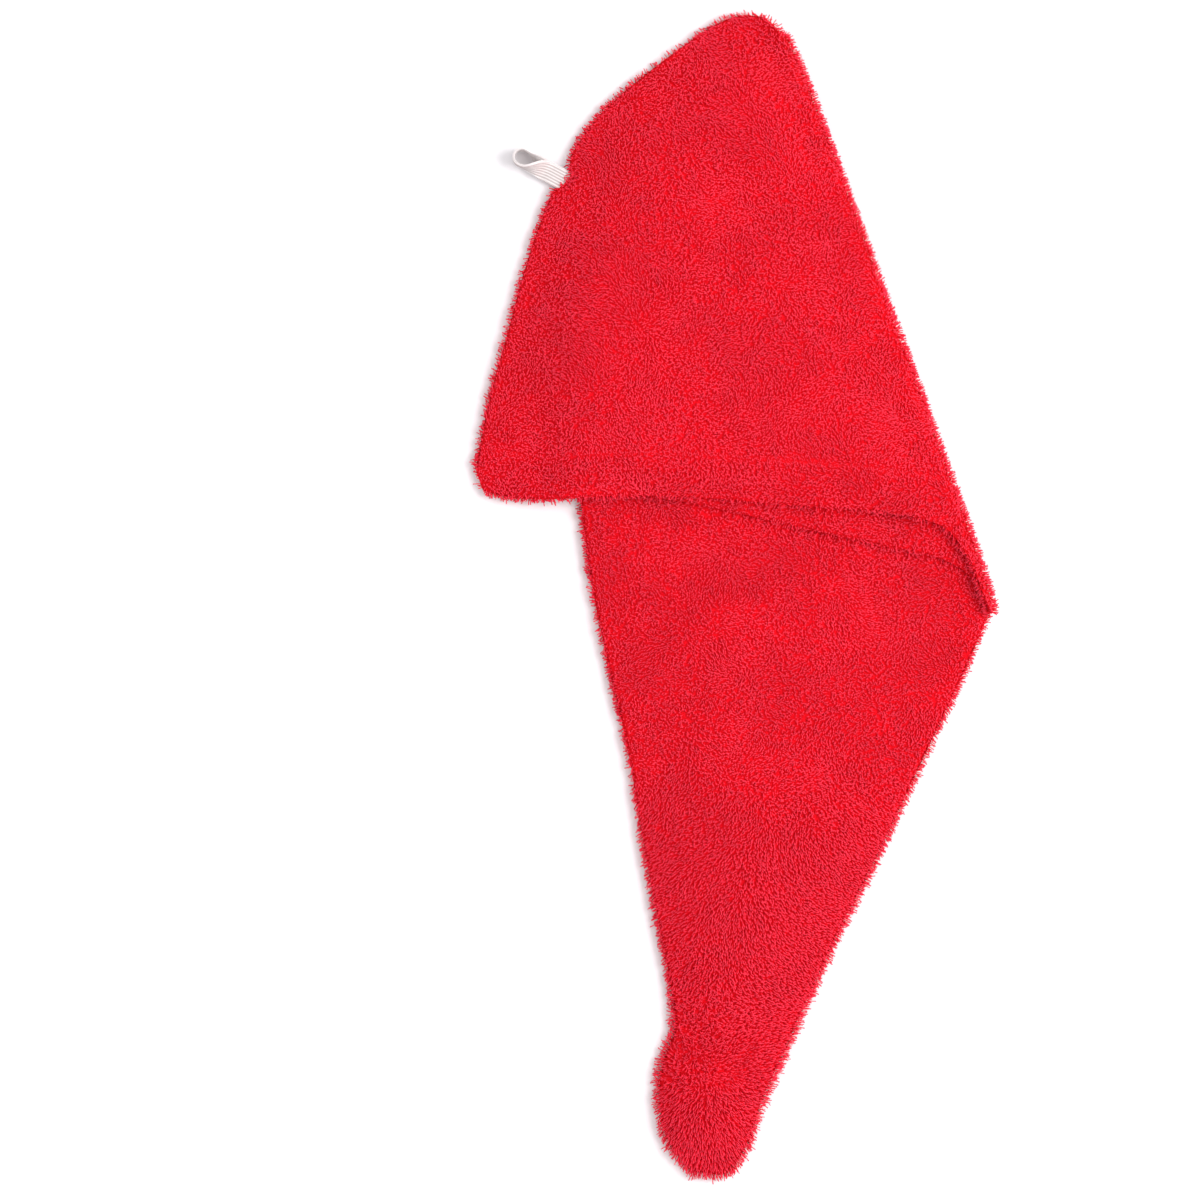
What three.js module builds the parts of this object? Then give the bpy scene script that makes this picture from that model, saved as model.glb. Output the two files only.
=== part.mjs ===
// A terry hair turban towel lying flat, with its tail folded under the hood. Millimetres, +Z up.
// Two mirror-image panels of cloth make one long pocket: the hood, open at its hem, and the tail.
// The origin is under the middle of the towel, on the surface that it lies on.
import * as THREE from "three";

// The towel's plan: +X to the folded edge, +Y to the peak, from the corner at the nape
const hemWidth = 296;
const hoodHeight = 274;
const tailDrop = 381;
const peekDepth = 24;

// The cloth and the spaces between its layers
const clothThickness = 3;
const edgeThickness = 1;
const edgeRound = 4;
const seamGap = 0.5;
const layerGap = 0.3;
const headGap = 6.6;
const hemGap = 5.2;
const foldGap = 1.6;
const tailGap = 1.2;
const puffGap = 3;

// How far each change of height takes
const hollowRun = 42;
const foldRun = 34;
const hemRun = 30;
const drapeRun = 20;
const drapeMargin = 1;
const puffStart = 75;
const puffRun = 70;
const liftRun = 17;
const foldEndRun = 14;
// The share of the tail's sections in which it comes down from the fold
const settleShare = 0.3;

// How far the fold stands out, as a share of a half circle, along it and at its two ends
const foldBulge = 0.8;
const foldEndBulge = 0.3;

const elasticWidth = 11;
const elasticThickness = 1.2;
const elasticReach = 28;
const elasticEye = 8;
const elasticRootGap = 0.5;
const elasticLean = -2;
const elasticFlatRun = 4;
const elasticJoinedRun = 4;
const elasticTwistShare = 0.74;

const buttonDiameter = 22;
const buttonThickness = 4;
const buttonRim = 1;
const buttonGap = 0.3;

// Steps of the faceted solids
const hoodSteps = 24;
const foldSteps = 6;
const tailSteps = 30;
const hemEndSteps = 2;
const innerRows = 9;
const outlineSteps = 40;
const elasticStrandSteps = 10;
const elasticBendSteps = 8;
const buttonSteps = 32;

// The rows beside an edge, as shares of edgeRound, and the most of a short section that they take
const edgeRows = [
  { share: 0, most: 0 },
  { share: 0.3, most: 0.07 },
  { share: 1, most: 0.2 },
];

// The hood's sections, from the nape corner to the fold. x is a share of hemWidth, y of hoodHeight,
// or of tailDrop where it is negative. peek is the share of peekDepth that the under layer shows.
const hoodSections = [
  { seamX: 0.004, seamY: 0.061, hemX: 0.017, hemY: 0.02, peek: 0 },
  { seamX: 0.013, seamY: 0.118, hemX: 0.074, hemY: 0.004, peek: 0 },
  { seamX: 0.032, seamY: 0.22, hemX: 0.157, hemY: 0.002, peek: 0 },
  { seamX: 0.064, seamY: 0.341, hemX: 0.253, hemY: 0.008, peek: 0.02 },
  { seamX: 0.1, seamY: 0.486, hemX: 0.361, hemY: 0.008, peek: 0.08 },
  { seamX: 0.149, seamY: 0.633, hemX: 0.467, hemY: 0.002, peek: 0.3 },
  { seamX: 0.221, seamY: 0.771, hemX: 0.573, hemY: -0.006, peek: 0.52 },
  { seamX: 0.312, seamY: 0.861, hemX: 0.679, hemY: -0.012, peek: 0.77 },
  { seamX: 0.397, seamY: 0.931, hemX: 0.773, hemY: -0.018, peek: 0.93 },
  { seamX: 0.463, seamY: 0.978, hemX: 0.849, hemY: -0.028, peek: 0.97 },
  { seamX: 0.516, seamY: 0.996, hemX: 0.902, hemY: -0.046, peek: 1 },
  { seamX: 0.561, seamY: 0.981, hemX: 0.937, hemY: -0.09, peek: 0.7 },
  { seamX: 0.58, seamY: 0.95, hemX: 0.977, hemY: -0.167, peek: 0 },
];

// The tail's sections, from the fold to the tip, in the same shares
const tailSections = [
  { seamX: 0.58, seamY: 0.95, farX: 0.977, farY: -0.167 },
  { seamX: 0.49, seamY: 0.849, farX: 0.951, farY: -0.217 },
  { seamX: 0.41, seamY: 0.771, farX: 0.926, farY: -0.261 },
  { seamX: 0.338, seamY: 0.714, farX: 0.9, farY: -0.303 },
  { seamX: 0.282, seamY: 0.622, farX: 0.873, farY: -0.347 },
  { seamX: 0.234, seamY: 0.486, farX: 0.843, farY: -0.396 },
  { seamX: 0.206, seamY: 0.316, farX: 0.811, farY: -0.449 },
  { seamX: 0.197, seamY: 0.122, farX: 0.773, farY: -0.511 },
  { seamX: 0.21, seamY: -0.059, farX: 0.735, farY: -0.57 },
  { seamX: 0.246, seamY: -0.213, farX: 0.699, farY: -0.623 },
  { seamX: 0.295, seamY: -0.37, farX: 0.669, farY: -0.673 },
  { seamX: 0.325, seamY: -0.523, farX: 0.631, farY: -0.737 },
  { seamX: 0.361, seamY: -0.661, farX: 0.597, farY: -0.796 },
  { seamX: 0.384, seamY: -0.761, farX: 0.575, farY: -0.834 },
  { seamX: 0.376, seamY: -0.796, farX: 0.56, farY: -0.86 },
  { seamX: 0.355, seamY: -0.837, farX: 0.546, farY: -0.887 },
  { seamX: 0.352, seamY: -0.888, farX: 0.531, farY: -0.922 },
  { seamX: 0.363, seamY: -0.937, farX: 0.514, farY: -0.959 },
  { seamX: 0.393, seamY: -0.972, farX: 0.488, farY: -0.984 },
  { seamX: 0.423, seamY: -0.99, farX: 0.467, farY: -0.994 },
];

// Creases that press the tail's two layers together, in the same shares. width is a share of tailDrop.
const creases = [
  { fromX: 0.39, fromY: -0.68, toX: 0.43, toY: -0.79, width: 0.022, depth: 0.9 },
  { fromX: 0.36, fromY: -0.8, toX: 0.42, toY: -0.815, width: 0.024, depth: 0.9 },
  { fromX: 0.51, fromY: -0.87, toX: 0.47, toY: -0.89, width: 0.02, depth: 0.7 },
  { fromX: 0.33, fromY: -0.3, toX: 0.47, toY: -0.62, width: 0.03, depth: 0.5 },
];

// The elastic's place on the back seam, in sections of the hood from the nape corner
const elasticPlace = 5.2;
const buttonPlace = { x: 0.443, y: -0.9 };

const { clamp, degToRad, lerp, smoothstep } = THREE.MathUtils;

// From 0 at no distance to 1 at the end of a run
function rise(distance, run) {
  return smoothstep(distance, 0, run);
}

function planPoint(x, y) {
  return new THREE.Vector2(x * hemWidth, y * (y > 0 ? hoodHeight : tailDrop));
}

// A smooth line through one pair of a table's columns
function planLine(rows, xColumn, yColumn) {
  return new THREE.SplineCurve(rows.map((row) => planPoint(row[xColumn], row[yColumn])));
}

const hoodSeam = planLine(hoodSections, "seamX", "seamY");
const hoodHem = planLine(hoodSections, "hemX", "hemY");
const hoodPeek = new THREE.SplineCurve(
  hoodSections.map((row) => {
    const seam = planPoint(row.seamX, row.seamY);
    const hem = planPoint(row.hemX, row.hemY);
    return hem.clone().addScaledVector(hem.clone().sub(seam).normalize(), row.peek * peekDepth);
  }),
);
const tailSeam = planLine(tailSections, "seamX", "seamY");
const tailFar = planLine(tailSections, "farX", "farY");

const foldTop = tailSeam.getPoint(0);
const foldFoot = tailFar.getPoint(0);
const foldAlong = foldFoot.clone().sub(foldTop).normalize();
const foldOutward = new THREE.Vector2(-foldAlong.y, foldAlong.x);
const tailTop = 2 * clothThickness + tailGap;
const foldCore = tailTop + layerGap / 2;

function toSegment(point, from, to) {
  const along = to.clone().sub(from);
  const share = clamp(point.clone().sub(from).dot(along) / along.lengthSq(), 0, 1);
  return point.distanceTo(from.clone().addScaledVector(along, share));
}

const tailOutline = [
  ...tailSeam.getPoints(outlineSteps),
  ...tailFar.getPoints(outlineSteps).reverse(),
];

// How far a point in plan is from the tail, 0 over it
function tailDistance(point) {
  let inside = false;
  let nearest = Infinity;
  tailOutline.forEach((to, i) => {
    const from = tailOutline.at(i - 1);
    nearest = Math.min(nearest, toSegment(point, from, to));
    if (from.y > point.y === to.y > point.y) return;
    const crossing = lerp(from.x, to.x, (point.y - from.y) / (to.y - from.y));
    if (point.x < crossing) inside = !inside;
  });
  return inside ? 0 : nearest;
}

// The height that the hood lies on: the floor, or the tail under it
function hoodBase(point) {
  return (tailTop + layerGap) * (1 - rise(tailDistance(point) - drapeMargin, drapeRun));
}

const buttonCentre = planPoint(buttonPlace.x, buttonPlace.y);

// The height that the tail lies on: the floor, or the button under its tip
function tailBase(point) {
  const away = point.distanceTo(buttonCentre) - buttonDiameter / 2 - drapeMargin;
  return (buttonThickness + buttonGap) * (1 - rise(away, liftRun));
}

function creaseAt(point) {
  return creases.reduce((open, crease) => {
    const from = planPoint(crease.fromX, crease.fromY);
    const to = planPoint(crease.toX, crease.toY);
    const near = 1 - rise(toSegment(point, from, to), crease.width * tailDrop);
    return open * (1 - crease.depth * near);
  }, 1);
}

// Shares across a section: close rows at each edge, and even ones between
function rowShares(length) {
  const near = edgeRows.map((row) => Math.min((edgeRound * row.share) / length, row.most));
  const first = near.at(-1);
  const middle = Array.from({ length: innerRows - 1 }, (_, i) => {
    return lerp(first, 1 - first, (i + 1) / innerRows);
  });
  return [...near, ...middle, ...near.map((share) => 1 - share).reverse()];
}

// 1 at an edge, 0 from edgeRound inwards, as a quarter circle
function roundOff(distance) {
  const share = clamp(distance / edgeRound, 0, 1);
  return 1 - Math.sqrt(1 - (1 - share) ** 2);
}

// One section of a panel: its two ends in plan, and how far round the fold it is, in radians
function sectionAt(step, hemLine) {
  if (step <= hoodSteps) {
    const share = step / hoodSteps;
    return { part: "hood", share, from: hoodSeam.getPoint(share), to: hemLine.getPoint(share) };
  }
  if (step < hoodSteps + foldSteps) {
    const share = (step - hoodSteps) / foldSteps;
    return { part: "fold", share, from: foldTop, to: foldFoot };
  }
  const share = (step - hoodSteps - foldSteps) / tailSteps;
  return { part: "tail", share, from: tailSeam.getPoint(share), to: tailFar.getPoint(share) };
}

// The space between the two panels at a point
function gapAt(section, point, fromSeam, fromFar) {
  let most = lerp(foldGap, tailGap, section.share);
  let edges = rise(fromSeam, hollowRun) * rise(fromFar, hollowRun);
  if (section.part === "hood") {
    const inwards = -point.clone().sub(foldTop).dot(foldOutward);
    const atHem = lerp(hemGap, headGap, rise(fromFar, hemRun));
    const atFold = lerp(foldGap, headGap, rise(inwards, foldRun));
    most = Math.min(atHem, atFold);
    edges = rise(fromSeam, hollowRun) * rise(point.distanceTo(foldFoot), hollowRun);
  }
  if (section.part === "tail") {
    most = lerp(tailGap, puffGap * creaseAt(point), rise(-point.y - puffStart, puffRun));
  }
  return seamGap + Math.max(most - seamGap, 0) * edges;
}

// The two surfaces of a panel at a point, as distances out from the side that faces the fold's core
function wallOffsets(panel, section, gap, fromSeam, fromFar, fromEnd) {
  const pastHem = hemEndSteps - (1 - section.share) * hoodSteps;
  const hemShare = section.part === "hood" ? 1 - rise(pastHem, hemEndSteps) : 0;
  const sewn = Math.min(fromSeam, fromEnd, hemShare > 0 ? Infinity : fromFar);
  const sink = (clothThickness - edgeThickness) * roundOff(sewn);
  const thin = ((clothThickness - edgeThickness) / 2) * roundOff(fromFar) * hemShare;
  const outerLow = clothThickness + gap;
  const [low, high] =
    panel === "inner" ? [sink, clothThickness] : [outerLow, outerLow + clothThickness - sink];
  const limit = Math.max((high - low - edgeThickness) / 2, 0);
  return [low + Math.min(thin, limit), high - Math.min(thin, limit)];
}

function place(section, point, offset, topHeight) {
  if (section.part === "hood") return new THREE.Vector3(point.x, point.y, hoodBase(point) + offset);
  if (section.part === "tail") return new THREE.Vector3(point.x, point.y, topHeight - offset);
  const turn = Math.PI * (0.5 - section.share);
  const radius = layerGap / 2 + offset;
  const fromFoldEnd = Math.min(point.distanceTo(foldTop), point.distanceTo(foldFoot));
  const rounded = Math.sqrt(1 - (1 - clamp(fromFoldEnd / foldEndRun, 0, 1)) ** 2);
  const bulge = lerp(foldEndBulge, foldBulge, rounded);
  const out = point.clone().addScaledVector(foldOutward, radius * Math.cos(turn) * bulge);
  return new THREE.Vector3(out.x, out.y, foldCore + radius * Math.sin(turn));
}

// One panel as a closed wall: the grids of its two surfaces, joined round the rim
function panelGeometry(panel) {
  const hemLine = panel === "inner" ? hoodPeek : hoodHem;
  const steps = hoodSteps + foldSteps + tailSteps;
  const first = sectionAt(0, hemLine);
  const last = sectionAt(steps, hemLine);
  const grid = [[], []];
  for (let step = 0; step <= steps; step++) {
    const section = sectionAt(step, hemLine);
    const length = section.from.distanceTo(section.to);
    const shares = rowShares(length);
    const points = shares.map((share) => section.from.clone().lerp(section.to, share));
    const walls = points.map((point, row) => {
      const fromSeam = shares[row] * length;
      const fromFar = length - fromSeam;
      const fromEnd = Math.min(
        section.part === "hood" ? toSegment(point, first.from, first.to) : Infinity,
        section.part === "tail" ? toSegment(point, last.from, last.to) : Infinity,
      );
      const gap = gapAt(section, point, Math.min(fromSeam, fromEnd), fromFar);
      const settled = tailBase(point) + 2 * clothThickness + gap;
      const top = Math.max(settled, lerp(tailTop, settled, rise(section.share, settleShare)));
      const offsets = wallOffsets(panel, section, gap, fromSeam, fromFar, fromEnd);
      return offsets.map((offset) => place(section, point, offset, top));
    });
    grid[0].push(walls.map((wall) => wall[0]));
    grid[1].push(walls.map((wall) => wall[1]));
  }
  return wallGeometry(grid);
}

// A closed mesh from two grids of points of the same size, the second outside the first
function wallGeometry([inside, outside]) {
  const across = inside[0].length;
  const along = inside.length;
  const points = [...inside.flat(), ...outside.flat()];
  const near = (i, j) => i * across + j;
  const far = (i, j) => along * across + near(i, j);
  const faces = [];
  const quad = (a, b, c, d) => faces.push(a, b, c, a, c, d);
  const endRow = across - 1;
  const endSection = along - 1;
  for (let i = 0; i < endSection; i++) {
    for (let j = 0; j < endRow; j++) {
      quad(far(i, j), far(i, j + 1), far(i + 1, j + 1), far(i + 1, j));
      quad(near(i, j), near(i + 1, j), near(i + 1, j + 1), near(i, j + 1));
    }
    quad(near(i, 0), far(i, 0), far(i + 1, 0), near(i + 1, 0));
    quad(far(i, endRow), near(i, endRow), near(i + 1, endRow), far(i + 1, endRow));
  }
  for (let j = 0; j < endRow; j++) {
    quad(far(0, j), near(0, j), near(0, j + 1), far(0, j + 1));
    quad(near(endSection, j), far(endSection, j), far(endSection, j + 1), near(endSection, j + 1));
  }
  const geometry = new THREE.BufferGeometry().setFromPoints(points).setIndex(faces);
  geometry.computeVertexNormals();
  return geometry;
}

// The elastic leaves the back seam flat, with its ends stacked, and turns on edge round an open eye
function elasticGeometry() {
  const share = elasticPlace / (hoodSections.length - 1);
  const root = hoodSeam.getPoint(share);
  const tangent = hoodSeam.getTangent(share);
  const up = new THREE.Vector3(0, 0, 1);
  const outward = new THREE.Vector3(-tangent.y, tangent.x, 0);
  outward.applyAxisAngle(up, degToRad(elasticLean));
  const side = new THREE.Vector3(-outward.y, outward.x, 0);
  const rootHeight = hoodBase(root) + clothThickness + seamGap / 2;
  const standHeight = elasticWidth / 2 + seamGap;
  const bendRadius = (elasticEye + elasticThickness) / 2;
  const strandLength = elasticReach - bendRadius - elasticThickness / 2;
  const start = new THREE.Vector3(root.x, root.y, 0);

  // The centre and the two cross directions at a distance out from the seam, on one strand
  const strandAt = (out, sign) => {
    const turned = rise(out - elasticFlatRun, strandLength * elasticTwistShare);
    const sine = Math.sin((turned * Math.PI) / 2);
    const cosine = Math.cos((turned * Math.PI) / 2);
    const flat = up.clone().multiplyScalar(cosine).addScaledVector(side, sine);
    const wide = side.clone().multiplyScalar(cosine).addScaledVector(up, -sine);
    const parted = rise(out - elasticJoinedRun, strandLength - elasticJoinedRun);
    const apart = lerp(elasticThickness + seamGap, 2 * bendRadius, parted);
    const lowest = (elasticWidth * sine + (elasticThickness + apart) * cosine) / 2;
    const centre = start.clone().addScaledVector(outward, out + elasticRootGap);
    centre.z = Math.max(rootHeight, lowest + seamGap);
    return { centre: centre.addScaledVector(flat, (sign * apart) / 2), flat, wide };
  };

  const frames = [];
  for (let i = 0; i <= elasticStrandSteps; i++) {
    frames.push(strandAt((strandLength * i) / elasticStrandSteps, -1));
  }
  const bendCentre = start.clone().addScaledVector(outward, strandLength + elasticRootGap);
  bendCentre.z = standHeight;
  for (let i = 1; i < elasticBendSteps; i++) {
    const angle = (Math.PI * i) / elasticBendSteps;
    const flat = side.clone().multiplyScalar(Math.cos(angle));
    flat.addScaledVector(outward, -Math.sin(angle));
    const centre = bendCentre.clone().addScaledVector(flat, -bendRadius);
    frames.push({ centre, flat, wide: up.clone().negate() });
  }
  for (let i = elasticStrandSteps; i >= 0; i--) {
    const frame = strandAt((strandLength * i) / elasticStrandSteps, 1);
    frames.push({ ...frame, flat: frame.flat.clone().negate() });
  }
  const corner = (frame, width, thickness) =>
    frame.centre
      .clone()
      .addScaledVector(frame.wide, (width * elasticWidth) / 2)
      .addScaledVector(frame.flat, (thickness * elasticThickness) / 2);
  const face = (thickness) => {
    return frames.map((frame) => [-1, 0, 1].map((width) => corner(frame, width, thickness)));
  };
  return wallGeometry([face(1), face(-1)]);
}

// A plain disc with softened rims, under the tail's tip
function buttonGeometry() {
  const radius = buttonDiameter / 2;
  const profile = [
    [0, 0],
    [radius - buttonRim, 0],
    [radius, buttonRim],
    [radius, buttonThickness - buttonRim],
    [radius - buttonRim, buttonThickness],
    [0, buttonThickness],
  ];
  const points = profile.map(([x, y]) => new THREE.Vector2(x, y));
  return new THREE.LatheGeometry(points, buttonSteps).rotateX(Math.PI / 2);
}

const terryRed = new THREE.MeshStandardMaterial({ color: 0xd8202f, roughness: 0.95, metalness: 0 });
const underRed = new THREE.MeshStandardMaterial({ color: 0xc81c2b, roughness: 0.95, metalness: 0 });
const elasticWhite = new THREE.MeshStandardMaterial({ color: 0xf1ecea, roughness: 0.7, metalness: 0 });
const buttonRed = new THREE.MeshStandardMaterial({ color: 0xb5222c, roughness: 0.35, metalness: 0 });

function piece(name, geometry, material) {
  const mesh = new THREE.Mesh(geometry, material);
  mesh.name = name;
  return mesh;
}

const button = piece("button", buttonGeometry(), buttonRed);
button.position.set(buttonCentre.x, buttonCentre.y, 0);

const towel = new THREE.Group();
towel.add(
  piece("outer_panel", panelGeometry("outer"), terryRed),
  piece("inner_panel", panelGeometry("inner"), underRed),
  piece("elastic_loop", elasticGeometry(), elasticWhite),
  button,
);

const bounds = new THREE.Box3().setFromObject(towel, true);
const middle = bounds.getCenter(new THREE.Vector3());
towel.position.set(-middle.x, -middle.y, -bounds.min.z);

const hairTurbanTowel = new THREE.Group();
hairTurbanTowel.add(towel);

export default hairTurbanTowel;
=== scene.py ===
import math

import bpy
import numpy as np
from mathutils import Matrix, Vector, noise
from mathutils.bvhtree import BVHTree
from mathutils.kdtree import KDTree


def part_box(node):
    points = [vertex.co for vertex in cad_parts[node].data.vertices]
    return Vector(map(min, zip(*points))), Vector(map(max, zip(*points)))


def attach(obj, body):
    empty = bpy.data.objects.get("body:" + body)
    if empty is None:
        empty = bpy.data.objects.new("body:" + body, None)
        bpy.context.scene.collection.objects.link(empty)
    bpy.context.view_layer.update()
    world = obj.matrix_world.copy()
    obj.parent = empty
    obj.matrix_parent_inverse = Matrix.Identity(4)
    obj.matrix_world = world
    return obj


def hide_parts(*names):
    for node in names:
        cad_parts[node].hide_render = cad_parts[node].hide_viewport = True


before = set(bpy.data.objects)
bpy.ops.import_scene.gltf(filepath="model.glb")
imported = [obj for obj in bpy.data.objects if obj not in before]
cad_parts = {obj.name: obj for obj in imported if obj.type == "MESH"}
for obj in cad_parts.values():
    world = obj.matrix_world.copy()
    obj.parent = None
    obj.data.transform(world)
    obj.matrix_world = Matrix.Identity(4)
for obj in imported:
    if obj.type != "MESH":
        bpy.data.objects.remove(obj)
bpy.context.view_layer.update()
bpy.ops.object.select_all(action="DESELECT")
mm = 0.001
seed = 7
chance = np.random.default_rng(seed)
noise.seed_set(seed)

# places are given in mm on the towel's plan, from the corner at the nape, and moved from there
buttonOnPlan = Vector((131.13, -342.9, 0))
planShift = sum(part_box("button"), Vector()) / 2 - buttonOnPlan * mm


def onPlan(x, y, height=0):
    spot = Vector((x, y, 0)) * mm + planShift
    return Vector((spot.x, spot.y, height * mm))


# the plan's x and y of places in the row frame, in mm
def toPlan(spots):
    return (np.asarray(spots)[..., :2] - np.array(planShift)[:2]) / mm


# camera, floor and light

studio = {
    "centre": (71.03, -55.95),  # what the middle of the picture shows, in mm
    "width": 671.3,  # how much it shows across, in mm
    "height": 2400,  # the camera above the floor, in mm
    "towelTop": 12,
    "sensor": 36,
    "keyPlace": (1.8, 0.2, 2.0),  # this and the next three are in metres
    "keySize": 1.5,
    "floorSize": 8,
    "floorBelow": 0.0002,
    "keyPower": 56,
    "skyStrength": 0.95,
    "skyColour": (1.0, 0.985, 1.0, 1),
    "floorColour": (0.87, 0.855, 0.87, 1),
}

cameraPlace = onPlan(*studio["centre"], studio["height"])
bpy.ops.object.camera_add(location=cameraPlace, rotation=(0, 0, 0))
camera = bpy.context.object
camera.data.sensor_width = studio["sensor"]
camera.data.lens = studio["sensor"] * (studio["height"] - studio["towelTop"]) / studio["width"]
bpy.context.scene.camera = camera
bpy.context.scene.view_settings.view_transform = "Standard"

keyPlace = Vector(studio["keyPlace"])
bpy.ops.object.light_add(type="AREA", location=keyPlace)
keyLight = bpy.context.object
keyLight.data.size = studio["keySize"]
keyLight.data.energy = studio["keyPower"]
keyLight.rotation_euler = keyPlace.to_track_quat("Z", "Y").to_euler()

sky = bpy.data.worlds.new("studioSky")
bpy.context.scene.world = sky
sky.use_nodes = True
sky.node_tree.nodes["Background"].inputs["Color"].default_value = studio["skyColour"]
sky.node_tree.nodes["Background"].inputs["Strength"].default_value = studio["skyStrength"]
print("camera and light are set")


# shader groups and the wiring helpers


def addNode(tree, kind, place, **values):
    node = tree.nodes.new(kind)
    node.location = place
    for key, value in values.items():
        setattr(node, key, value)
    return node


def wire(tree, source, output, target, socket):
    tree.links.new(source.outputs[output], target.inputs[socket])


# light and dark patches round 1, from wide ones down to flecks
def buildCloudyTone():
    tree = bpy.data.node_groups.new("cloudyTone", "ShaderNodeTree")
    for name in ("Patch scale", "Fleck scale", "Strength"):
        tree.interface.new_socket(name, in_out="INPUT", socket_type="NodeSocketFloat")
    tree.interface.new_socket("Tone", in_out="OUTPUT", socket_type="NodeSocketFloat")
    inputs = addNode(tree, "NodeGroupInput", (-800, 0))
    outputs = addNode(tree, "NodeGroupOutput", (600, 0))
    coords = addNode(tree, "ShaderNodeTexCoord", (-800, 300))
    patches = addNode(tree, "ShaderNodeTexNoise", (-500, 300))
    flecks = addNode(tree, "ShaderNodeTexNoise", (-500, 0))
    both = addNode(tree, "ShaderNodeMath", (-250, 200), operation="ADD")
    centred = addNode(tree, "ShaderNodeMath", (-50, 200), operation="SUBTRACT")
    centred.inputs[1].default_value = 1
    scaled = addNode(tree, "ShaderNodeMath", (150, 200), operation="MULTIPLY")
    tone = addNode(tree, "ShaderNodeMath", (350, 200), operation="ADD")
    tone.inputs[1].default_value = 1
    for texture, socket in ((patches, "Patch scale"), (flecks, "Fleck scale")):
        wire(tree, coords, "Object", texture, "Vector")
        wire(tree, inputs, socket, texture, "Scale")
    wire(tree, patches, "Fac", both, 0)
    wire(tree, flecks, "Fac", both, 1)
    wire(tree, both, 0, centred, 0)
    wire(tree, centred, 0, scaled, 0)
    wire(tree, inputs, "Strength", scaled, 1)
    wire(tree, scaled, 0, tone, 0)
    wire(tree, tone, 0, outputs, "Tone")
    return tree


cloudyTone = buildCloudyTone()


def newMaterial(name, **constants):
    material = bpy.data.materials.new(name)
    material.use_nodes = True
    shader = material.node_tree.nodes["Principled BSDF"]
    for socket, value in constants.items():
        shader.inputs[socket].default_value = value
    return material, material.node_tree, shader


def addTone(tree, place, patchScale, fleckScale, strength):
    node = addNode(tree, "ShaderNodeGroup", place, node_tree=cloudyTone)
    node.inputs["Patch scale"].default_value = patchScale
    node.inputs["Fleck scale"].default_value = fleckScale
    node.inputs["Strength"].default_value = strength
    return node


# multiplies a colour by a tone and gives the result to the shader
def shadeBy(tree, colour, output, tone, toneOutput, shader):
    mix = addNode(tree, "ShaderNodeMix", (-200, 200), data_type="RGBA", blend_type="MULTIPLY")
    mix.inputs["Factor"].default_value = 1
    tree.links.new(colour.outputs[output], mix.inputs["A"])
    tree.links.new(tone.outputs[toneOutput], mix.inputs["B"])
    tree.links.new(mix.outputs["Result"], shader.inputs["Base Color"])
    return mix


def only(piece):
    bpy.ops.object.select_all(action="DESELECT")
    piece.select_set(True)
    bpy.context.view_layer.objects.active = piece


def applyModifier(piece, kind, **values):
    only(piece)
    bpy.ops.object.modifier_add(type=kind)
    modifier = piece.modifiers[-1]
    for key, value in values.items():
        setattr(modifier, key, value)
    bpy.ops.object.modifier_apply(modifier=modifier.name)


def finish(piece, material):
    piece.data.materials.clear()
    piece.data.materials.append(material)
    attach(piece, "root")
    print("made", piece.name, "with", len(piece.data.polygons), "faces")


# the floor

bpy.ops.mesh.primitive_plane_add(
    size=studio["floorSize"], location=(0, 0, -studio["floorBelow"])
)
floor = bpy.context.object
floor.name = "paleFloor"
floorMaterial, floorTree, floorShader = newMaterial("palePaper", Roughness=0.7)
floorTone = addTone(floorTree, (-500, 0), patchScale=3, fleckScale=11, strength=0.02)
floorColour = addNode(floorTree, "ShaderNodeRGB", (-500, 250))
floorColour.outputs[0].default_value = studio["floorColour"]
shadeBy(floorTree, floorColour, 0, floorTone, "Tone", floorShader)
floor.data.materials.append(floorMaterial)
print("floor is laid")

# the way that the elastic leaves the back seam

elasticAngle = math.radians(152.1)
elasticOutwards = Vector((math.cos(elasticAngle), math.sin(elasticAngle), 0))

# the two cloth panels

cloth = {
    "mergeWithin": 0.02,
    "quadAngle": 60,
    "smoothing": 2,
    "topInset": 1.0,  # the ground of the terry lies this far inside the solid
    "underInset": 1.25,
    "mostInset": 0.33,  # and never takes more than this share of the wall
    "thinWall": 5,
    "uprightInset": (0.25, 0.5),  # on a thicker wall it fades over these shares of a level normal
    "insetSoftening": 3,
    "roomAhead": 25,  # loops grow where nothing is nearer than this
    "openShare": 0.6,
    "downFrom": -0.3,  # the height of a normal below which a surface faces down
    "rayLift": 0.4,
    "wallLift": 0.03,
    "thickestWall": 10,
    "flat": (0.31, 0.66),  # the cloth of one panel laid flat, in metres and square metres
    "flatArea": 0.137,
    "hemLine": (
        (5.0, 5.5), (21.9, 1.1), (46.5, 0.5), (74.9, 2.2), (106.9, 2.2), (138.2, 0.5),
        (169.6, -2.3), (201.0, -4.6), (228.8, -6.9), (251.3, -10.7), (267.0, -17.5),
        (277.4, -34.3),
    ),
    "hemDroop": 3.8,
    "hemDroopRun": 17,
    "hemDroopSpan": (90, 215),  # all of it between these, fading out beyond them
    "hemDroopEnds": 60,
    "tailUnderside": 3.5,
    "notchPlace": (50.5, 183.0),  # where the elastic draws the seam in
    "notchDepth": 4.6,
    "notchRun": 12,
    # the cloth's own red, darkened as painted shade for the gaps between the loops
    "shadedGroundColour": (0.73, 0.002, 0.010, 1),
    "loopBumpScale": 900,
}


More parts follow.
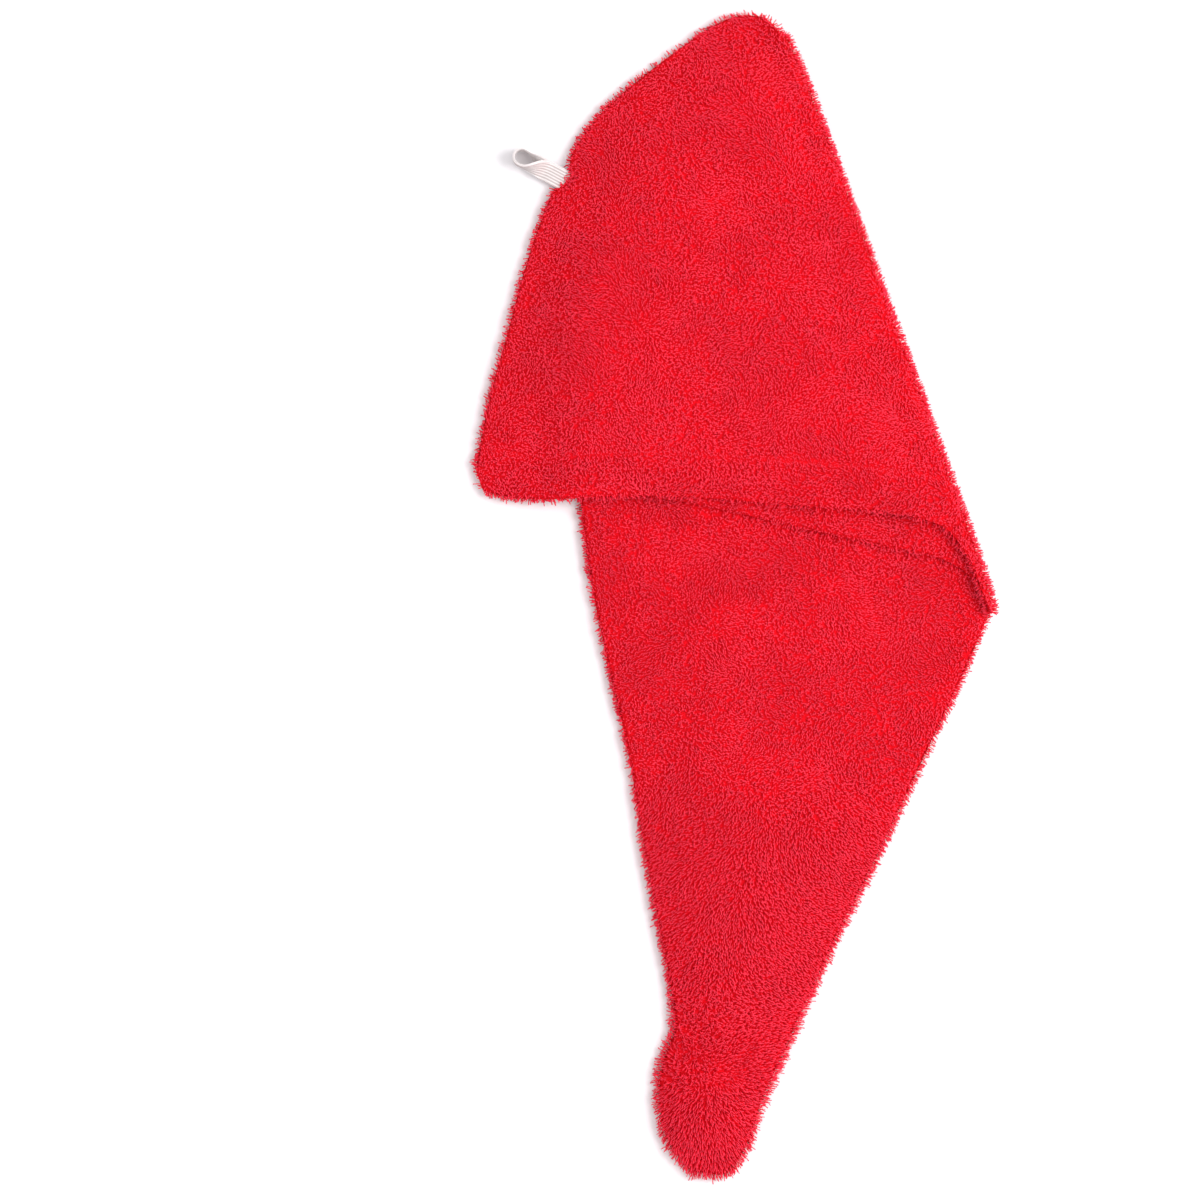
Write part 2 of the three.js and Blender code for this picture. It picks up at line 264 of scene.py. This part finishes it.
def copyOfNode(nodeName, name):
    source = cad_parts[nodeName]
    piece = source.copy()
    piece.data = source.data.copy()
    piece.name = name
    piece.data.name = name
    piece.parent = None
    for key in [key for key in piece.keys() if key.startswith("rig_")]:
        del piece[key]
    bpy.context.scene.collection.objects.link(piece)
    only(piece)
    bpy.ops.object.mode_set(mode="EDIT")
    bpy.ops.mesh.select_all(action="SELECT")
    bpy.ops.mesh.remove_doubles(threshold=cloth["mergeWithin"] * mm)
    bpy.ops.mesh.tris_convert_to_quads(
        face_threshold=math.radians(cloth["quadAngle"]),
        shape_threshold=math.radians(cloth["quadAngle"]),
    )
    bpy.ops.object.mode_set(mode="OBJECT")
    bpy.ops.object.shade_smooth()
    return piece


def pointsOf(piece):
    points = np.zeros(len(piece.data.vertices) * 3)
    piece.data.vertices.foreach_get("co", points)
    return points.reshape(-1, 3)


def normalsOf(piece):
    normals = np.zeros(len(piece.data.vertices) * 3)
    piece.data.vertices.foreach_get("normal", normals)
    return normals.reshape(-1, 3)


def trianglesOf(piece):
    piece.data.calc_loop_triangles()
    triangles = np.zeros(len(piece.data.loop_triangles) * 3, int)
    piece.data.loop_triangles.foreach_get("vertices", triangles)
    return triangles.reshape(-1, 3)


def treeOf(pieces):
    points, triangles, count = [], [], 0
    for piece in pieces:
        triangles.append(trianglesOf(piece) + count)
        points.append(pointsOf(piece))
        count += len(points[-1])
    return BVHTree.FromPolygons(
        np.vstack(points).tolist(), np.vstack(triangles).tolist(), all_triangles=True
    )


def distanceToLine(spots, line):
    nearest = np.full(len(spots), np.inf)
    for start, end in zip(np.array(line[:-1]), np.array(line[1:])):
        along = end - start
        share = np.clip(((spots - start) @ along) / (along @ along), 0, 1)
        away = np.linalg.norm(spots - start - share[:, None] * along, axis=1)
        nearest = np.minimum(nearest, away)
    return nearest


# from 1 at no distance to 0 at the end of a run
def fade(distances, run):
    share = np.clip(1 - distances / run, 0, 1)
    return share * share * (3 - 2 * share)


# the open hem hangs down a little, and the elastic draws the seam in
def settleEdges(piece, outwards):
    points = pointsOf(piece)
    plan = toPlan(points)
    if piece == outerCloth:
        start, end = cloth["hemDroopSpan"]
        droop = fade(distanceToLine(plan, cloth["hemLine"]), cloth["hemDroopRun"])
        beyond = np.maximum(start - plan[:, 0], plan[:, 0] - end).clip(0)
        droop *= fade(beyond, cloth["hemDroopEnds"])
        isHood = points[:, 2] > cloth["tailUnderside"] * mm
        points[:, 2] -= droop * isHood * cloth["hemDroop"] * mm
    away = np.linalg.norm(plan - np.array(cloth["notchPlace"]), axis=1)
    drawn = fade(away, cloth["notchRun"]) * cloth["notchDepth"] * mm
    points[:, :2] -= drawn[:, None] * np.array(outwards)[:2]
    piece.data.vertices.foreach_set("co", points.ravel())
    piece.data.update()


# 1 where the surface faces open space, 0 inside a fold or between layers
def opennessOf(piece, tree):
    room = cloth["roomAhead"] * mm
    openness = np.zeros(len(piece.data.vertices))
    for i, (point, normal) in enumerate(zip(pointsOf(piece), normalsOf(piece))):
        start, ahead = Vector(point), Vector(normal)
        openness[i] = tree.ray_cast(start + ahead * cloth["rayLift"] * mm, ahead, room)[0] is None
    return openness


# how thick the wall is under each vertex
def wallAt(piece, tree):
    thickest = cloth["thickestWall"] * mm
    walls = np.zeros(len(piece.data.vertices))
    for i, (point, normal) in enumerate(zip(pointsOf(piece), normalsOf(piece))):
        back = -Vector(normal)
        start = Vector(point) + back * cloth["wallLift"] * mm
        distance = tree.ray_cast(start, back, thickest)[3]
        walls[i] = distance if distance is not None else thickest
    return walls


# each vertex's value evened out with its neighbours'
def softened(piece, values, passes):
    edges = np.zeros(len(piece.data.edges) * 2, int)
    piece.data.edges.foreach_get("vertices", edges)
    edges = edges.reshape(-1, 2)
    for _ in range(passes):
        total, count = values.copy(), np.ones(len(values))
        for a, b in ((0, 1), (1, 0)):
            np.add.at(total, edges[:, a], values[edges[:, b]])
            np.add.at(count, edges[:, a], 1)
        values = total / count
    return values


# draws the surface in, to leave room for the loops
def insetGround(piece, openness, walls):
    points, normals = pointsOf(piece), normalsOf(piece)
    least, run = cloth["uprightInset"]
    level = np.clip((np.abs(normals[:, 2]) - least) / run, 0, 1)
    level = np.where(walls < cloth["thinWall"] * mm, 1, level)
    facesDown = normals[:, 2] < cloth["downFrom"]
    depth = np.where(facesDown, cloth["underInset"], cloth["topInset"]) * mm
    depth = np.minimum(depth, walls * cloth["mostInset"]) * level
    points -= normals * (depth * openness)[:, None]
    piece.data.vertices.foreach_set("co", points.ravel())
    piece.data.update()


def groundMaterial(name):
    material, tree, shader = newMaterial(name, Roughness=0.95)
    shader.inputs["Specular IOR Level"].default_value = 0.15
    # darker than the strands: painted shade in the gaps between them
    colour = addNode(tree, "ShaderNodeRGB", (-500, 300))
    colour.outputs[0].default_value = cloth["shadedGroundColour"]
    tone = addTone(tree, (-500, 100), patchScale=30, fleckScale=220, strength=0.35)
    shadeBy(tree, colour, 0, tone, "Tone", shader)
    coords = addNode(tree, "ShaderNodeTexCoord", (-900, -200))
    loops = addNode(tree, "ShaderNodeTexVoronoi", (-650, -200))
    loops.inputs["Scale"].default_value = cloth["loopBumpScale"]
    bump = addNode(tree, "ShaderNodeBump", (-350, -200), invert=True)
    bump.inputs["Strength"].default_value = 0.8
    bump.inputs["Distance"].default_value = 0.0006
    wire(tree, coords, "Object", loops, "Vector")
    wire(tree, loops, "Distance", bump, "Height")
    wire(tree, bump, "Normal", shader, "Normal")
    return material


outerCloth = copyOfNode("outer_panel", "outerCloth")
innerCloth = copyOfNode("inner_panel", "innerCloth")
panels = (outerCloth, innerCloth)
for panel in panels:
    applyModifier(panel, "SUBSURF", levels=cloth["smoothing"], render_levels=cloth["smoothing"])
    settleEdges(panel, elasticOutwards)
panelTree = treeOf(panels)
openAt = {panel: opennessOf(panel, panelTree) for panel in panels}
wallsOf = {panel: wallAt(panel, treeOf([panel])) for panel in panels}
for panel in panels:
    openness = softened(panel, openAt[panel], cloth["insetSoftening"])
    insetGround(panel, openness, wallsOf[panel])
terryGround = groundMaterial("terryGround")
finish(outerCloth, terryGround)
finish(innerCloth, terryGround)
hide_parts("outer_panel")
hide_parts("inner_panel")

# the terry loops, each a short blunt strand

pile = {
    "length": 2.3,
    "tipRadius": 0.34,
    "rootRadius": 0.24,
    "lowest": 0.05,  # no strand comes nearer to the floor than this
    "tries": 2.2,  # points thrown for each square of the spacing
    "hoodSpacing": 0.79,
    "tailSpacing": 0.82,
    "underSpacing": 1.25,
    "topLean": (38, 66),
    "sideLean": (10, 40),
    "underLean": (68, 80),
    "unruliness": 0.4,
    "tailLonger": 0.25,
    "bulbLonger": 0.45,
    "sideLonger": 0.45,
    "lengthSpread": 0.2,
    "sideSpread": 0.15,
    "widthSpread": 0.15,
    "underWider": 1.3,
    "bulbThinner": 0.15,
    "sideNormal": (0.75, 0.5),  # a normal's height where the side begins, and the run to its end
    "swirls": ((26, 1.6), (75, 1.12)),  # scale and strength of each
    "tailCalmer": 0.55,
    "tailStart": -143,
    "tailRun": 60,
    "tailCombing": 1.5,
    "spine": ((-453, 130), (-303, 128), (-203, 153), (-113, 178)),  # y, x
    "spineReach": 45,
    "downTail": -0.8,
    "bulbStart": -268,
    "bulbRun": 40,
    "bulbCentre": (126, -321),
    "bulbReach": (30, 37.5),
    "hemTurning": 24,
    "hemStitchWidth": 1.1,
    "hemPressed": (0.6, 0.4),  # how far it flattens the loops, and how much that wanders
    "hemPatches": 30,
    "bulbCreases": (
        ((106, -301), (115.8, -305.5), (119.5, -312)),
        ((155, -306), (152.2, -311), (147.7, -318.9), (142.5, -323.5)),
    ),
    "creaseWidth": 2.6,
    "creaseShorter": 0.5,
    # painted shade in the bulb's creases: how far the strands' tone drops there
    "creasePaintedShade": 4,
    # the strands' red along their length: the darker root is painted shade where strands crowd,
    # the paler tip a painted highlight
    "highlitTipColour": (0.985, 0.053, 0.104, 1),
    "midColour": (0.95, 0.012, 0.035, 1),
    "midAlong": 0.45,
    "shadedRootColour": (0.79, 0.002, 0.008, 1),
    "ownTone": 0.04,  # how much one strand's tone differs from the next one's
}


# a strand with three sides and a blunt tip
def makeTuft(name, rootRadius):
    bpy.ops.mesh.primitive_cone_add(
        vertices=3,
        radius1=rootRadius * mm,
        radius2=pile["tipRadius"] * mm,
        depth=pile["length"] * mm,
        location=(0, 0, pile["length"] * mm / 2),
    )
    tuft = bpy.context.object
    tuft.name = name
    bpy.ops.object.transform_apply(location=True, rotation=True, scale=True)
    bpy.ops.object.shade_smooth()
    # the share along the strand, which sets its painted root shade and tip highlight
    along = tuft.data.attributes.new("along", "FLOAT", "POINT")
    along.data.foreach_set("value", pointsOf(tuft)[:, 2] / (pile["length"] * mm))
    return tuft


# lays the tuft on every point of a piece and makes them one mesh
def buildLoops(name, tuft):
    tree = bpy.data.node_groups.new(name, "GeometryNodeTree")
    tree.interface.new_socket("Geometry", in_out="INPUT", socket_type="NodeSocketGeometry")
    tree.interface.new_socket("Geometry", in_out="OUTPUT", socket_type="NodeSocketGeometry")
    inputs = addNode(tree, "NodeGroupInput", (-600, 0))
    outputs = addNode(tree, "NodeGroupOutput", (900, 0))
    shape = addNode(tree, "GeometryNodeObjectInfo", (-600, -150))
    shape.inputs["Object"].default_value = tuft
    turn = addNode(tree, "GeometryNodeInputNamedAttribute", (-600, -400), data_type="QUATERNION")
    turn.inputs["Name"].default_value = "turn"
    size = addNode(tree, "GeometryNodeInputNamedAttribute", (-600, -550), data_type="FLOAT_VECTOR")
    size.inputs["Name"].default_value = "size"
    place = addNode(tree, "GeometryNodeInstanceOnPoints", (-300, 0))
    real = addNode(tree, "GeometryNodeRealizeInstances", (-50, 0))
    where = addNode(tree, "GeometryNodeInputPosition", (-50, -200))
    parts = addNode(tree, "ShaderNodeSeparateXYZ", (150, -200))
    above = addNode(tree, "ShaderNodeMath", (350, -300), operation="MAXIMUM")
    above.inputs[1].default_value = pile["lowest"] * mm
    joined = addNode(tree, "ShaderNodeCombineXYZ", (550, -200))
    settle = addNode(tree, "GeometryNodeSetPosition", (700, 0))
    wire(tree, inputs, "Geometry", place, "Points")
    wire(tree, shape, "Geometry", place, "Instance")
    wire(tree, turn, "Attribute", place, "Rotation")
    wire(tree, size, "Attribute", place, "Scale")
    wire(tree, place, "Instances", real, "Geometry")
    wire(tree, real, "Geometry", settle, "Geometry")
    wire(tree, where, "Position", parts, "Vector")
    wire(tree, parts, "X", joined, "X")
    wire(tree, parts, "Y", joined, "Y")
    wire(tree, parts, "Z", above, 0)
    wire(tree, above, 0, joined, "Z")
    wire(tree, joined, "Vector", settle, "Position")
    wire(tree, settle, "Geometry", outputs, "Geometry")
    return tree


# points spread over the triangles, none nearer another than the spacing
def scatter(points, normals, triangles, spacing):
    a, b, c = (points[triangles[:, i]] for i in range(3))
    areas = np.linalg.norm(np.cross(b - a, c - a), axis=1) / 2
    wanted = int(areas.sum() / spacing**2 * pile["tries"])
    picked = chance.choice(len(triangles), wanted, p=areas / areas.sum())
    u, v = chance.random((2, wanted, 1))
    u, v = np.where(u + v > 1, 1 - u, u), np.where(u + v > 1, 1 - v, v)
    shares = (1 - u - v, u, v)
    spots, facing = (
        sum(values[triangles[picked, i]] * shares[i] for i in range(3))
        for values in (points, normals)
    )
    facing /= np.linalg.norm(facing, axis=1)[:, None]
    tree = KDTree(wanted)
    for i, spot in enumerate(spots):
        tree.insert(spot, i)
    tree.balance()
    kept = np.ones(wanted, bool)
    for i, spot in enumerate(spots):
        if kept[i]:
            for _, other, _ in tree.find_range(spot, spacing):
                if other > i:
                    kept[other] = False
    return spots[kept], facing[kept]


# 0 above the tail or the bulb and 1 in it
def inTail(y):
    return np.clip((pile["tailStart"] - y) / pile["tailRun"], 0, 1)


def inBulb(y):
    return np.clip((pile["bulbStart"] - y) / pile["bulbRun"], 0, 1)


# the way the strands lie: swirls over the hood, outwards from the middle down the tail
def combAt(spot):
    x, y = toPlan(spot)
    tail, bulb = float(inTail(y)), float(inBulb(y))
    spineX = np.interp(y, *zip(*pile["spine"]))
    centreX, centreY = pile["bulbCentre"]
    reachX, reachY = pile["bulbReach"]
    down = Vector(((x - spineX) / pile["spineReach"], pile["downTail"], 0))
    outwards = Vector(((x - centreX) / reachX, (y - centreY) / reachY, 0))
    comb = down.lerp(outwards, bulb) * tail * pile["tailCombing"]
    for scale, strength in pile["swirls"]:
        comb += noise.noise_vector(spot * scale) * strength * (1 - pile["tailCalmer"] * tail)
    return comb


def placeTufts(spots, facing, onHood, under):
    count = len(spots)
    turns, sizes = np.zeros((count, 4)), np.ones((count, 3))
    plan = toPlan(spots)
    tail, bulb = inTail(plan[:, 1]), inBulb(plan[:, 1])
    steepest, run = pile["sideNormal"]
    sides = np.clip((steepest - np.abs(facing[:, 2])) / run, 0, 1)
    lengths = 1 + pile["tailLonger"] * tail + pile["bulbLonger"] * bulb
    lengths += pile["sideLonger"] * sides
    spread = pile["lengthSpread"] + pile["sideSpread"] * sides
    lengths *= 1 + chance.uniform(-1, 1, count) * spread
    if onHood:
        fromHem = distanceToLine(plan, cloth["hemLine"])
        flattened, wander = pile["hemPressed"]
        wanderings = [noise.noise(Vector((x, y, 0)) / pile["hemPatches"]) for x, y in plan]
        patches = flattened + wander * np.array(wanderings)
        pressed = np.exp(-(((fromHem - pile["hemTurning"]) / pile["hemStitchWidth"]) ** 2))
        lengths *= 1 - pressed * patches
    creased = np.zeros(count)
    if not (onHood or under):
        fromCrease = np.minimum(*(distanceToLine(plan, line) for line in pile["bulbCreases"]))
        creased = np.exp(-((fromCrease / pile["creaseWidth"]) ** 2))
    lengths *= 1 - pile["creaseShorter"] * creased
    sizes[:, 2] = lengths
    widths = 1 + chance.uniform(-1, 1, count) * pile["widthSpread"]
    widths *= (pile["underWider"] if under else 1) * (1 - pile["bulbThinner"] * bulb)
    sizes[:, :2] = widths[:, None]
    leans = chance.uniform(0, 1, count)
    jitter = chance.normal(0, pile["unruliness"], (count, 3))
    for i in range(count):
        spot, normal = Vector(spots[i]), Vector(facing[i])
        side = sides[i]
        low, high = pile["underLean"] if under else pile["topLean"]
        low = low + (pile["sideLean"][0] - low) * side
        high = high + (pile["sideLean"][1] - high) * side
        lean = math.radians(low + (high - low) * leans[i])
        comb = combAt(spot) + Vector(jitter[i])
        forward = (comb - normal * comb.dot(normal)).normalized()
        up = normal * math.cos(lean) + forward * math.sin(lean)
        ahead = forward * math.cos(lean) - normal * math.sin(lean)
        turns[i] = Matrix((ahead, up.cross(ahead), up)).transposed().to_quaternion()
    # each strand's random tone, lowered in the creases as painted shade
    return turns, sizes, chance.normal(0, 1, count) - creased * pile["creasePaintedShade"]


def makePile(name, spots, turns, sizes, tonesAndCreaseShade, loops, material):
    mesh = bpy.data.meshes.new(name)
    mesh.vertices.add(len(spots))
    mesh.vertices.foreach_set("co", spots.ravel())
    mesh.attributes.new("turn", "QUATERNION", "POINT").data.foreach_set("value", turns.ravel())
    mesh.attributes.new("size", "FLOAT_VECTOR", "POINT").data.foreach_set("vector", sizes.ravel())
    # the strands' random tone together with the painted crease shade
    mesh.attributes.new("tone", "FLOAT", "POINT").data.foreach_set("value", tonesAndCreaseShade)
    piece = bpy.data.objects.new(name, mesh)
    bpy.context.scene.collection.objects.link(piece)
    applyModifier(piece, "NODES", node_group=loops)
    for spare in ("turn", "size"):
        if spare in piece.data.attributes:
            piece.data.attributes.remove(piece.data.attributes[spare])
    finish(piece, material)
    return piece


def pileMaterial(name, brighter):
    material, tree, shader = newMaterial(name, Roughness=0.75)
    shader.inputs["Specular IOR Level"].default_value = 0.07
    shader.inputs["Sheen Weight"].default_value = 0.05
    shader.inputs["Sheen Roughness"].default_value = 0.4
    shader.inputs["Sheen Tint"].default_value = (1, 0.3, 0.35, 1)
    along = addNode(tree, "ShaderNodeAttribute", (-1000, 300), attribute_name="along")
    # painted shade at the strand's root running to a painted highlight at its tip
    ramp = addNode(tree, "ShaderNodeValToRGB", (-750, 300))
    ramp.color_ramp.elements[0].color = pile["shadedRootColour"]
    ramp.color_ramp.elements[1].color = pile["highlitTipColour"]
    middle = ramp.color_ramp.elements.new(pile["midAlong"])
    middle.color = pile["midColour"]
    # each strand's tone: random, and lowered in the creases as painted shade
    own = addNode(tree, "ShaderNodeAttribute", (-1000, 0), attribute_name="tone")
    ownTone = addNode(tree, "ShaderNodeMath", (-750, 0), operation="MULTIPLY_ADD")
    ownTone.inputs[1].default_value = pile["ownTone"]
    ownTone.inputs[2].default_value = brighter
    cloud = addTone(tree, (-750, -200), patchScale=22, fleckScale=90, strength=0.14)
    bothTones = addNode(tree, "ShaderNodeMath", (-450, 0), operation="MULTIPLY")
    wire(tree, along, "Fac", ramp, "Fac")
    wire(tree, own, "Fac", ownTone, 0)
    wire(tree, ownTone, 0, bothTones, 0)
    wire(tree, cloud, "Tone", bothTones, 1)
    shadeBy(tree, ramp, "Color", bothTones, 0, shader)
    return material


tuft = makeTuft("terryTuft", pile["rootRadius"])
pressedTuft = makeTuft("pressedTuft", 0)
loops = buildLoops("terryLoops", tuft)
pressedLoops = buildLoops("pressedLoops", pressedTuft)
# one terry cloth in two copies: the inner panel's, 3% darker, is painted shade for the lower-lying
# tail
outerTerry = pileMaterial("outerTerry", brighter=1.0)
innerTerry = pileMaterial("innerTerry", brighter=0.97)
growths = (
    (outerCloth, "hoodSpacing", ("hoodPileLower", "hoodPileUpper"), outerTerry, "terry_outer"),
    (innerCloth, "tailSpacing", ("tailPileLower", "tailPileUpper"), innerTerry, "terry_inner"),
    (outerCloth, "underSpacing", ("tailUndersidePile",), outerTerry, "terry_outer"),
    (innerCloth, "underSpacing", ("hoodUndersidePile",), innerTerry, "terry_inner"),
)
pilesOn = {panel: [] for panel in panels}
for panel, spacingName, names, material, slotName in growths:
    under = spacingName == "underSpacing"
    points, normals, triangles = pointsOf(panel), normalsOf(panel), trianglesOf(panel)
    facingUp = normals[triangles].mean(axis=1)[:, 2] > cloth["downFrom"]
    isOpen = openAt[panel][triangles].mean(axis=1) > cloth["openShare"]
    triangles = triangles[isOpen & (facingUp != under)]
    spots, facing = scatter(points, normals, triangles, pile[spacingName] * mm)
    order = np.argsort(spots[:, 1], kind="stable")
    spots, facing = spots[order], facing[order]
    turns, sizes, tonesAndCreaseShade = placeTufts(spots, facing, panel == outerCloth and not under, under)
    cuts = np.array_split(np.arange(len(spots)), len(names))
    group = pressedLoops if under else loops
    for name, cut in zip(names, cuts):
        piece = makePile(
            name, spots[cut], turns[cut], sizes[cut], tonesAndCreaseShade[cut], group, material
        )
        pilesOn[panel].append(piece)
bpy.data.objects.remove(tuft)
bpy.data.objects.remove(pressedTuft)
print("terry pile is grown")

# the elastic, a flat band of cords that leaves the seam and turns on edge round its eye

elastic = {
    "root": (47.8, 181.4),
    "width": 11,
    "thickness": 1.1,
    "reach": 28,
    "eye": 8,
    "rootHeight": 3.4,
    "inside": -8,  # how far the ends are caught in the seam
    "clearance": 0.5,
    "flatRun": 4,
    "twistShare": 0.74,
    "strandSteps": 24,
    "eyeSteps": 16,
    "cords": 7,
    "cordSteps": 4,
    "cordDepth": 0.4,
    "plainEdge": 0.05,  # the share of its width at each edge that gets no painted groove shade
    "colour": (0.79, 0.74, 0.73, 1),
    # painted shade for the grooves between the cords
    "grooveShadeColour": (0.44, 0.38, 0.37, 1),
}


# from 0 at 0 to 1 at 1
def smoothStep(value):
    value = min(max(value, 0), 1)
    return value * value * (3 - 2 * value)


# the band's sections from one end to the other, each a centre and its two cross directions
def elasticFrames():
    outwards = elasticOutwards
    clearance, flatRun = elastic["clearance"], elastic["flatRun"]
    strandSteps, eyeSteps = elastic["strandSteps"], elastic["eyeSteps"]
    side = Vector((-outwards.y, outwards.x, 0))
    up = Vector((0, 0, 1))
    start = onPlan(*elastic["root"]) / mm
    bend = (elastic["eye"] + elastic["thickness"]) / 2
    strand = elastic["reach"] - bend - elastic["thickness"] / 2
    frames = []

    def onStrand(out, sign):
        twist = smoothStep((out - flatRun) / (strand * elastic["twistShare"])) * math.pi / 2
        flat = up * math.cos(twist) + side * math.sin(twist)
        wide = side * math.cos(twist) - up * math.sin(twist)
        apart = elastic["thickness"] + clearance
        apart += (2 * bend - apart) * smoothStep((out - flatRun) / (strand - flatRun))
        lowest = elastic["width"] * math.sin(twist) / 2
        lowest += (elastic["thickness"] + apart) * math.cos(twist) / 2
        centre = start + outwards * (out + clearance)
        centre.z = max(elastic["rootHeight"], lowest + clearance)
        return centre + flat * (sign * apart / 2), wide, flat

    run = strand - elastic["inside"]
    for i in range(strandSteps + 1):
        frames.append(onStrand(elastic["inside"] + run * i / strandSteps, -1))
    middle = start + outwards * (strand + clearance)
    middle.z = elastic["width"] / 2 + clearance
    for i in range(1, eyeSteps):
        turned = math.pi * i / eyeSteps
        flat = side * math.cos(turned) - outwards * math.sin(turned)
        frames.append((middle - flat * bend, -up, flat))
    for i in range(strandSteps + 1):
        centre, wide, flat = onStrand(strand - run * i / strandSteps, 1)
        frames.append((centre, wide, -flat))
    return frames


def makeElastic():
    frames = elasticFrames()
    across = elastic["cords"] * elastic["cordSteps"]
    plain = elastic["plainEdge"]
    bpy.ops.mesh.primitive_grid_add(
        x_subdivisions=len(frames) - 1, y_subdivisions=across, size=2, location=(0, 0, 0)
    )
    piece = bpy.context.object
    piece.name = "elasticBand"
    # painted shade in the valleys between the cords, none on the raised cords
    grooveShades = piece.data.attributes.new("grooveShade", "FLOAT", "POINT")
    for vertex, grooveShade in zip(piece.data.vertices, grooveShades.data):
        section = round((vertex.co.x + 1) / 2 * (len(frames) - 1))
        share = (vertex.co.y + 1) / 2
        centre, wide, flat = frames[section]
        cord = abs(math.sin(math.pi * elastic["cords"] * share))
        grooveShade.value = (1 - cord) ** 2 if plain < share < 1 - plain else 0
        raised = (cord - 0.5) * elastic["cordDepth"]
        vertex.co = (centre + wide * (share - 0.5) * elastic["width"] + flat * raised) * mm
    applyModifier(piece, "SOLIDIFY", thickness=elastic["thickness"] * mm, offset=0)
    only(piece)
    bpy.ops.object.mode_set(mode="EDIT")
    bpy.ops.mesh.select_all(action="SELECT")
    bpy.ops.mesh.normals_make_consistent(inside=False)
    bpy.ops.object.mode_set(mode="OBJECT")
    bpy.ops.object.shade_smooth_by_angle(angle=math.radians(50))
    return piece


def elasticMaterial():
    material, tree, shader = newMaterial("ribbedElastic", Roughness=0.55)
    shader.inputs["Specular IOR Level"].default_value = 0.35
    shader.inputs["Sheen Weight"].default_value = 0.15
    colour = addNode(tree, "ShaderNodeRGB", (-500, 300))
    colour.outputs[0].default_value = elastic["colour"]
    # darker between the cords: painted shade in the grooves
    grooveShade = addNode(tree, "ShaderNodeAttribute", (-900, 500), attribute_name="grooveShade")
    striped = addNode(tree, "ShaderNodeMix", (-650, 400), data_type="RGBA")
    striped.inputs["B"].default_value = elastic["grooveShadeColour"]
    wire(tree, grooveShade, "Fac", striped, "Factor")
    tree.links.new(colour.outputs[0], striped.inputs["A"])
    tone = addTone(tree, (-500, 100), patchScale=90, fleckScale=1400, strength=0.18)
    shadeBy(tree, striped, "Result", tone, "Tone", shader)
    coords = addNode(tree, "ShaderNodeTexCoord", (-900, -200))
    knit = addNode(tree, "ShaderNodeTexNoise", (-650, -200))
    knit.inputs["Scale"].default_value = 1800
    bump = addNode(tree, "ShaderNodeBump", (-350, -200))
    bump.inputs["Strength"].default_value = 0.5
    bump.inputs["Distance"].default_value = 0.0002
    wire(tree, coords, "Object", knit, "Vector")
    wire(tree, knit, "Fac", bump, "Height")
    wire(tree, bump, "Normal", shader, "Normal")
    return material


elasticBand = makeElastic()
finish(elasticBand, elasticMaterial())
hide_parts("elastic_loop")

# the button under the tail's tip

button = {
    "radius": 11,
    "thickness": 4,
    "sides": 64,
    "edge": 1.0,
    "edgeSteps": 3,
    "rim": 2.2,
    "slope": 1.2,
    "dish": 0.9,
    "colour": (0.36, 0.008, 0.018, 1),
}


def makeButton():
    bpy.ops.mesh.primitive_cylinder_add(
        vertices=button["sides"],
        radius=button["radius"] * mm,
        depth=button["thickness"] * mm,
        location=sum(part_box("button"), Vector()) / 2,
    )
    piece = bpy.context.object
    piece.name = "tailButton"
    bpy.ops.object.transform_apply(location=True, rotation=True, scale=True)
    bpy.ops.object.mode_set(mode="EDIT")
    bpy.ops.mesh.select_all(action="DESELECT")
    bpy.ops.mesh.select_mode(type="FACE")
    bpy.ops.object.mode_set(mode="OBJECT")
    for face in piece.data.polygons:
        face.select = face.normal.z < -0.9
    bpy.ops.object.mode_set(mode="EDIT")
    bpy.ops.mesh.inset(thickness=button["rim"] * mm)
    bpy.ops.mesh.inset(thickness=button["slope"] * mm)
    bpy.ops.transform.translate(value=(0, 0, button["dish"] * mm))
    bpy.ops.object.mode_set(mode="OBJECT")
    applyModifier(
        piece,
        "BEVEL",
        width=button["edge"] * mm,
        segments=button["edgeSteps"],
        limit_method="ANGLE",
        angle_limit=math.radians(50),
    )
    bpy.ops.object.shade_smooth_by_angle(angle=math.radians(40))
    return piece


def buttonMaterial():
    material, tree, shader = newMaterial("redPlastic", Roughness=0.4)
    shader.inputs["Specular IOR Level"].default_value = 0.3
    colour = addNode(tree, "ShaderNodeRGB", (-500, 300))
    colour.outputs[0].default_value = button["colour"]
    tone = addTone(tree, (-500, 100), patchScale=60, fleckScale=400, strength=0.12)
    shadeBy(tree, colour, 0, tone, "Tone", shader)
    return material


tailButton = makeButton()
finish(tailButton, buttonMaterial())
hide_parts("button")
